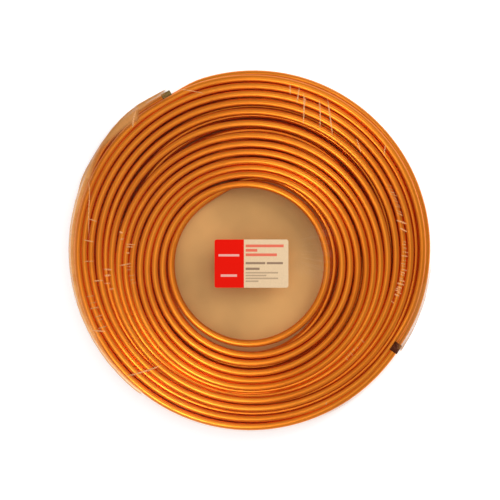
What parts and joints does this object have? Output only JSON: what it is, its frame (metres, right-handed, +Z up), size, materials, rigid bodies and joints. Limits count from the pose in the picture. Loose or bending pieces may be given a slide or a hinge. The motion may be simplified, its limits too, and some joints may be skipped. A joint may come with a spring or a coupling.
{
  "type": "copper tube coil",
  "caption": "Flat pancake coil of soft copper tube, wound in two layers round an open centre, with capped ends, a card and a label in clear shrink film.",
  "frame": {"origin": "centre of the underside of the wrapped coil, on the surface that it lies on", "axes": "+Z up along the coil's axis towards the labelled face; +X to the picture's right, +Y to the picture's top"},
  "size_m": [0.481, 0.481, 0.022],
  "materials": {
    "copper": "bright drawn copper, soft lustre with faint drawing marks",
    "brown_cap": "dark brown moulded plastic, satin",
    "olive_cap": "olive moulded plastic, satin",
    "clear_film": "clear glossy shrink film with small wrinkles",
    "tan_card": "plain tan card, matt",
    "label_paper": "coated label paper, red panel on the left, cream panel on the right"
  },
  "bodies": {
    "root": {"tube_coil": "copper", "upper_end_cap": "brown_cap", "lower_end_cap": "olive_cap", "shrink_film": "clear_film", "backing_card": "tan_card", "label": "label_paper"}
  },
  "joints": []
}
